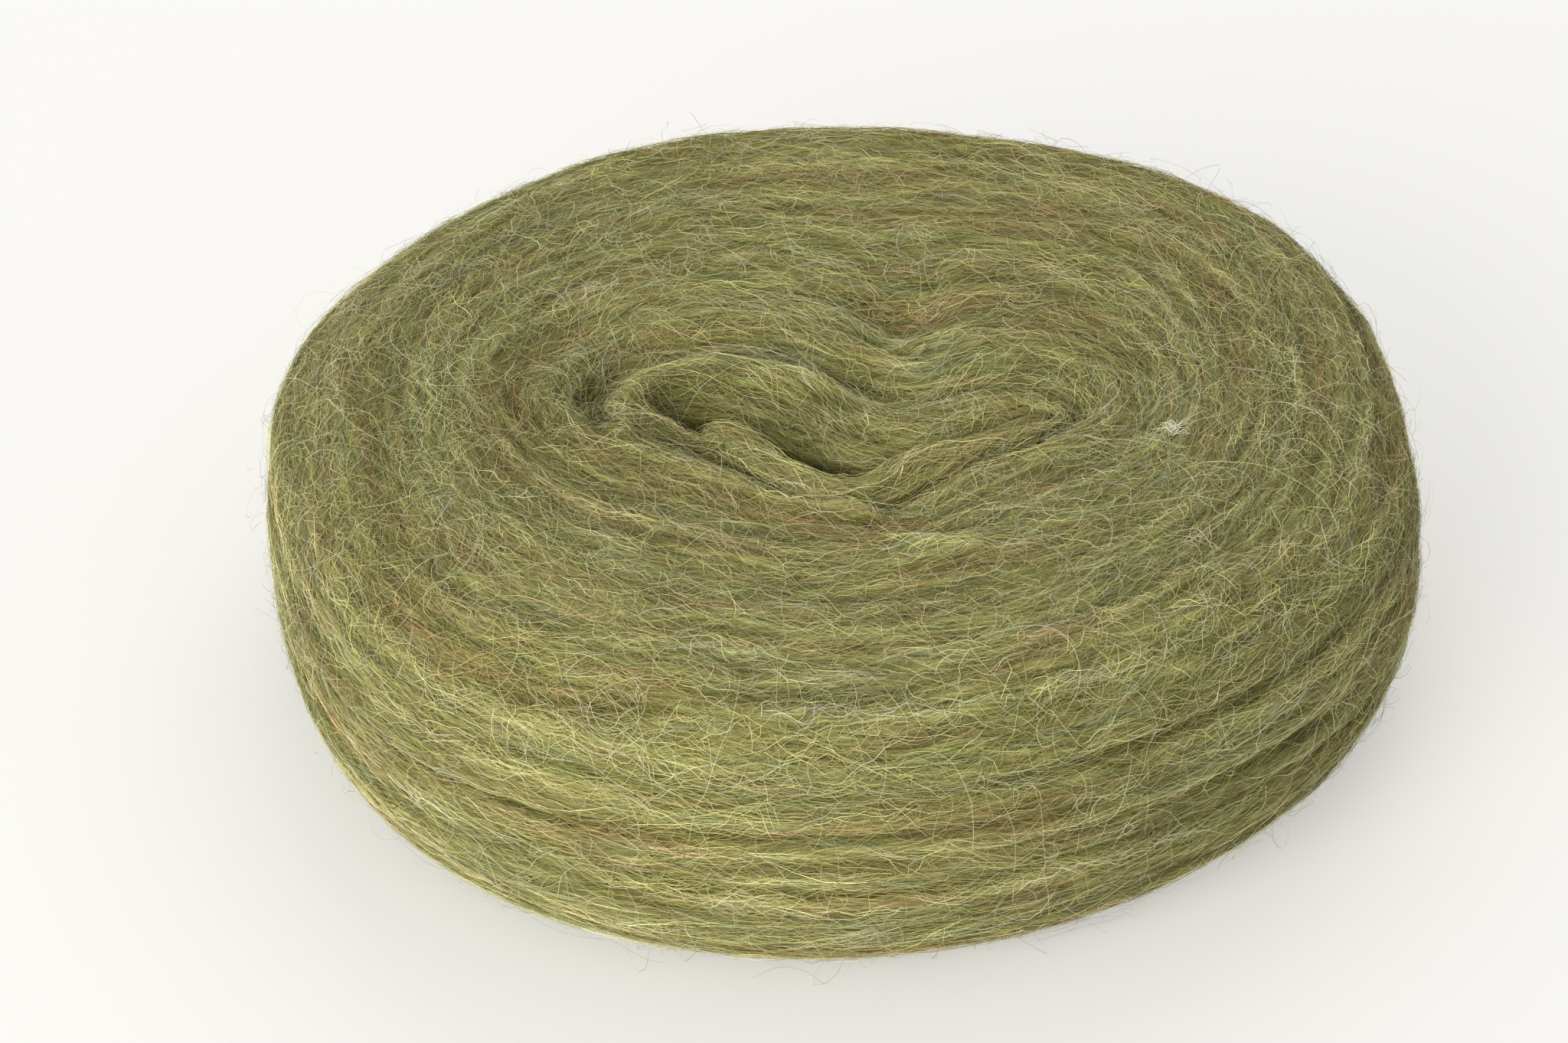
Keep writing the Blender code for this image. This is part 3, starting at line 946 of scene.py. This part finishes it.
def stray_hairs(plate, material):
    """Long pale hairs that curl over the surface, loosely along the turns."""
    rng = np.random.default_rng(41)
    row, angle = scatter(plate, STRAY_COUNT, rng, STRAY_BASE_SHARE)
    heading = np.radians(rng.normal(0.0, STRAY_SWAY, STRAY_COUNT))
    length = 10.0 + rng.gamma(2.0, 8.0, STRAY_COUNT)
    curl = rng.normal(0.0, STRAY_CURL, (STRAY_COUNT, 1))
    bend = np.cumsum(rng.normal(0.0, STRAY_BEND, (STRAY_COUNT, STRAY_SEGMENTS)), axis=1)
    turns = np.radians(curl + bend)
    rows, angles = trace(plate, row, angle, heading, turns, length / STRAY_SEGMENTS)
    points, normals = bridged(plate, rows, angles)
    t = np.linspace(0.0, 1.0, STRAY_SEGMENTS + 1)
    lift = rng.uniform(0.2, 1.8, (STRAY_COUNT, 1)) * np.sin(math.pi * t)[None] ** 0.7
    lift *= np.where(rng.random((STRAY_COUNT, 1)) < STRAY_LOOSE_SHARE, STRAY_LOOSE_LIFT, 1.0)
    points = points + normals * (0.9 + lift)[..., None]
    points[..., 2] = np.maximum(points[..., 2], LEAST_HEIGHT)
    width = rng.uniform(0.045, 0.08, STRAY_COUNT)
    roll = rng.normal(0.0, 0.5, STRAY_COUNT)
    dye = rng.uniform(0.0, 1.0, STRAY_COUNT)
    shade = rng.uniform(0.6, 1.1, (STRAY_COUNT, 1))
    fibre_piece("stray_hairs", points, normals, width, roll, dye, shade, material)


def surface_fuzz(plate, material):
    """Short hairs that stand off the surface and show at its edges."""
    rng = np.random.default_rng(51)
    row, angle = scatter(plate, FUZZ_COUNT, rng, FUZZ_BASE_SHARE)
    heading = rng.uniform(0.0, 2.0 * math.pi, FUZZ_COUNT)
    length = rng.uniform(4.0, 13.0, FUZZ_COUNT)
    curl = rng.normal(0.0, 26.0, (FUZZ_COUNT, 1))
    turns = np.radians(curl + rng.normal(0.0, 16.0, (FUZZ_COUNT, FUZZ_SEGMENTS)))
    rows, angles = trace(plate, row, angle, heading, turns, length / FUZZ_SEGMENTS)
    points, normals = bridged(plate, rows, angles)
    t = np.linspace(0.0, 1.0, FUZZ_SEGMENTS + 1)
    rise = rng.gamma(2.0, 0.6, (FUZZ_COUNT, 1))
    bow = rng.random((FUZZ_COUNT, 1)) < 0.5
    profile = np.where(bow, np.sin(math.pi * t)[None], t[None] ** 1.4)
    points = points + normals * (0.5 + rise * profile)[..., None]
    points[..., 2] = np.maximum(points[..., 2], LEAST_HEIGHT)
    width = rng.uniform(0.04, 0.08, FUZZ_COUNT)
    roll = rng.uniform(0.0, math.pi, FUZZ_COUNT)
    dye = rng.uniform(0.0, 1.0, FUZZ_COUNT)
    shade = rng.uniform(0.7, 1.2, (FUZZ_COUNT, 1))
    fibre_piece("surface_fuzz", points, normals, width, roll, dye, shade, material)


def pale_tuft(plate, material):
    """A small tuft of undyed hairs caught between the turns at the right."""
    rng = np.random.default_rng(81)
    top = plate.smooth_grid[plate.lip_row:plate.side_row]
    away = np.linalg.norm(top[..., :2] - np.array(TUFT_PLACE), axis=2)
    near_row, near_turn = np.unravel_index(np.argmin(away), away.shape)
    row_scatter = rng.normal(0.0, TUFT_SPREAD, TUFT_HAIRS)
    turn_scatter = rng.normal(0.0, 2.0 * TUFT_SPREAD, TUFT_HAIRS)
    place = (plate.lip_row + near_row, near_turn)
    row = place[0] + row_scatter / plate.row_step[place]
    angle = plate.angles[near_turn] + turn_scatter / plate.angle_step[place]
    heading = np.radians(rng.normal(-20.0, 30.0, TUFT_HAIRS))
    length = rng.uniform(1.5, 4.5, TUFT_HAIRS)
    turns = np.radians(rng.normal(0.0, 22.0, (TUFT_HAIRS, TUFT_SEGMENTS)))
    rows, angles = trace(plate, row, angle, heading, turns, length / TUFT_SEGMENTS)
    points, normals = bridged(plate, rows, angles)
    points = points + normals * rng.uniform(0.5, 1.5, (TUFT_HAIRS, 1, 1))
    width = rng.uniform(0.06, 0.10, TUFT_HAIRS)
    roll = rng.normal(0.0, 0.5, TUFT_HAIRS)
    dye = rng.uniform(0.2, 1.0, TUFT_HAIRS)
    shade = rng.uniform(1.1, 1.6, (TUFT_HAIRS, 1))
    fibre_piece("pale_tuft", points, normals, width, roll, dye, shade, material)


# Colours, as red, green and blue from 0 to 255 on screen
Dye = namedtuple("Dye", "place red green blue")
DYES = (
    Dye(0.00, 152, 121, 77),
    Dye(0.10, 142, 125, 75),
    Dye(0.25, 142, 132, 77),
    Dye(0.42, 149, 143, 81),
    Dye(0.58, 157, 156, 86),
    Dye(0.70, 162, 163, 91),
    Dye(0.80, 148, 152, 95),
    Dye(0.90, 130, 140, 93),
    Dye(1.00, 150, 143, 107),
)
PALE_DYES = (
    Dye(0.00, 188, 180, 146),
    Dye(0.35, 206, 204, 168),
    Dye(0.70, 192, 195, 146),
    Dye(1.00, 190, 184, 172),
)
WOOL_GAIN = 1.22
BLUE_POWER = 1.45


def linear(value):
    v = value / 255.0
    return v / 12.92 if v <= 0.04045 else ((v + 0.055) / 1.055) ** 2.4


def new_material(name):
    material = bpy.data.materials.new(name)
    material.use_nodes = True
    return material, material.node_tree.nodes, material.node_tree.links


def dye_ramp(nodes, dyes):
    ramp = nodes.new("ShaderNodeValToRGB")
    elements = ramp.color_ramp.elements
    while len(elements) > 1:
        elements.remove(elements[-1])
    for index, dye in enumerate(dyes):
        element = elements[0] if index == 0 else elements.new(dye.place)
        element.position = dye.place
        element.color = (linear(dye.red), linear(dye.green), linear(dye.blue), 1.0)
    return ramp


def set_inputs(node, values):
    for name, value in values.items():
        node.inputs[name].default_value = value


def set_wool(shader):
    set_inputs(shader, {
        "Roughness": 0.9,
        "Specular IOR Level": 0.18,
        "Sheen Weight": 0.18,
        "Sheen Roughness": 0.6,
        "Sheen Tint": (0.9, 0.85, 0.6, 1.0),
    })


def attribute(nodes, name):
    """The outputs of a node that reads values kept on the mesh."""
    node = nodes.new("ShaderNodeAttribute")
    node.attribute_name = name
    return node.outputs


def streaks(nodes, links, flow, scale, detail, offset):
    """Noise drawn out along the turns, at one scale and place."""
    mapping = nodes.new("ShaderNodeMapping")
    set_inputs(mapping, {"Scale": scale, "Location": (offset, offset, offset)})
    noise = nodes.new("ShaderNodeTexNoise")
    set_inputs(noise, {"Scale": 1.0, "Detail": detail})
    links.new(flow, mapping.inputs["Vector"])
    links.new(mapping.outputs["Vector"], noise.inputs["Vector"])
    return noise.outputs["Fac"]


def weave(nodes, links, flow, reach, offset):
    """The flow, swayed across the turns, so that fine streaks run at a slight slant."""
    sway = streaks(nodes, links, flow, (0.11, 0.11, 0.22), 1.0, offset)
    centre = nodes.new("ShaderNodeMath")
    centre.operation = "MULTIPLY_ADD"
    centre.inputs[1].default_value = 2.0 * reach
    centre.inputs[2].default_value = -reach
    links.new(sway, centre.inputs[0])
    across = nodes.new("ShaderNodeCombineXYZ")
    links.new(centre.outputs["Value"], across.inputs["Z"])
    moved = nodes.new("ShaderNodeVectorMath")
    links.new(flow, moved.inputs[0])
    links.new(across.outputs["Vector"], moved.inputs[1])
    return moved.outputs["Vector"]


def spread(nodes, links, value, low, high, to_low, to_high):
    """A value drawn out from one range to another."""
    node = nodes.new("ShaderNodeMapRange")
    set_inputs(node, {"From Min": low, "From Max": high, "To Min": to_low, "To Max": to_high})
    links.new(value, node.inputs["Value"])
    return node.outputs["Result"]


def product(nodes, links, first, second):
    node = nodes.new("ShaderNodeMath")
    node.operation = "MULTIPLY"
    links.new(first, node.inputs[0])
    links.new(second, node.inputs[1])
    return node.outputs["Value"]


def tinted(nodes, links, colour, shade):
    """A colour at a shade: its blue falls and rises faster, as between deep and pale wool."""
    channels = nodes.new("ShaderNodeSeparateColor")
    links.new(colour, channels.inputs["Color"])
    joined = nodes.new("ShaderNodeCombineColor")
    for name, power in (("Red", 1.0), ("Green", 1.0), ("Blue", BLUE_POWER)):
        raised = nodes.new("ShaderNodeMath")
        raised.operation = "POWER"
        raised.inputs[1].default_value = power
        links.new(shade, raised.inputs[0])
        links.new(product(nodes, links, channels.outputs[name], raised.outputs["Value"]),
                  joined.inputs[name])
    return joined.outputs["Color"]


def fibre_material(name, dyes, gain):
    """Each fibre has its own dye and shade."""
    material, nodes, links = new_material(name)
    shader = nodes["Principled BSDF"]
    set_wool(shader)
    ramp = dye_ramp(nodes, dyes)
    links.new(attribute(nodes, "dye")["Fac"], ramp.inputs["Fac"])
    lit = spread(nodes, links, attribute(nodes, "shade")["Fac"], 0.0, 1.0, 0.0, gain)
    lit.node.clamp = False
    links.new(tinted(nodes, links, ramp.outputs["Color"], lit), shader.inputs["Base Color"])
    return material


def mass_material():
    """Streaks of dye along the turns, over fine matted fibres."""
    material, nodes, links = new_material("wool_mass")
    shader = nodes["Principled BSDF"]
    set_wool(shader)
    flow = attribute(nodes, "flow")["Vector"]
    dye = streaks(nodes, links, flow, (0.035, 0.035, 0.40), 3.0, 0.0)
    one_way = streaks(nodes, links, weave(nodes, links, flow, 2.2, 3.0), (0.10, 0.10, 3.6), 3.0, 5.0)
    other_way = streaks(nodes, links, weave(nodes, links, flow, 2.2, 9.0), (0.12, 0.12, 4.4), 3.0, 7.0)
    fibres = product(nodes, links, spread(nodes, links, one_way, 0.32, 0.68, 0.2, 1.5),
                     spread(nodes, links, other_way, 0.32, 0.68, 0.45, 1.55))
    ramp = dye_ramp(nodes, DYES)
    links.new(spread(nodes, links, dye, 0.3, 0.7, 0.05, 0.95), ramp.inputs["Fac"])
    lit = product(nodes, links, fibres, attribute(nodes, "shade")["Fac"])
    links.new(tinted(nodes, links, ramp.outputs["Color"], lit), shader.inputs["Base Color"])
    bump = nodes.new("ShaderNodeBump")
    set_inputs(bump, {"Strength": 0.8, "Distance": 0.0003})
    links.new(fibres, bump.inputs["Height"])
    links.new(bump.outputs["Normal"], shader.inputs["Normal"])
    return material


def area_lamp(lamp):
    """A round soft lamp aimed at the plate."""
    data = bpy.data.lights.new(lamp.name, "AREA")
    data.shape = "DISK"
    data.size = lamp.size
    data.energy = lamp.power
    data.color = LAMP_COLOUR
    holder = bpy.data.objects.new(lamp.name, data)
    side = math.radians(lamp.side)
    rise = math.radians(lamp.rise)
    way = Vector((math.cos(side) * math.cos(rise), math.sin(side) * math.cos(rise), math.sin(rise)))
    holder.location = lamp.away * way
    holder.rotation_euler = (-way).to_track_quat("-Z", "Y").to_euler()
    bpy.context.scene.collection.objects.link(holder)


def floor_and_light():
    """A pale floor, lit by a low lamp at the front left and a weaker one behind."""
    bpy.ops.mesh.primitive_plane_add(size=FLOOR_SIZE, location=(0.0, 0.0, -FLOOR_GAP))
    floor = bpy.context.object
    floor.name = "floor"
    material, nodes, _ = new_material("pale_floor")
    set_inputs(nodes["Principled BSDF"], {
        "Base Color": FLOOR_COLOUR,
        "Roughness": 0.8,
        "Specular IOR Level": 0.1,
        "Emission Color": FLOOR_COLOUR,
        "Emission Strength": FLOOR_GLOW,
    })
    floor.data.materials.append(material)
    world = bpy.data.worlds.new("soft_room")
    world.use_nodes = True
    background = world.node_tree.nodes["Background"]
    set_inputs(background, {"Color": WORLD_COLOUR, "Strength": WORLD_STRENGTH})
    bpy.context.scene.world = world
    for lamp in LAMPS:
        area_lamp(lamp)


def camera():
    data = bpy.data.cameras.new("camera")
    data.lens = VIEW_LENS
    data.shift_x, data.shift_y = VIEW_SHIFT
    data.clip_start = 0.05
    holder = bpy.data.objects.new("camera", data)
    back = VIEW_DISTANCE * math.cos(VIEW_ELEVATION)
    rise = VIEW_DISTANCE * math.sin(VIEW_ELEVATION)
    target = Vector(VIEW_TARGET)
    holder.location = target + Vector((0.0, -back, rise))
    holder.rotation_euler = (math.pi / 2.0 - VIEW_ELEVATION, 0.0, 0.0)
    bpy.context.scene.collection.objects.link(holder)
    bpy.context.scene.camera = holder


def main():
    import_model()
    bpy.context.scene.view_settings.view_transform = "Standard"
    camera()
    floor_and_light()
    plate = Plate()
    matted = mass_material()
    wool_mass(plate, matted)
    wool = fibre_material("heathered_fibres", DYES, WOOL_GAIN)
    pale = fibre_material("pale_fibres", PALE_DYES, 1.0)
    for layer in LAYERS:
        fibre_layer(plate, layer, wool)
    strand = Strand()
    strand_body(strand, matted)
    strand_fibres(strand, wool)
    stray_hairs(plate, pale)
    surface_fuzz(plate, pale)
    pale_tuft(plate, pale)


main()
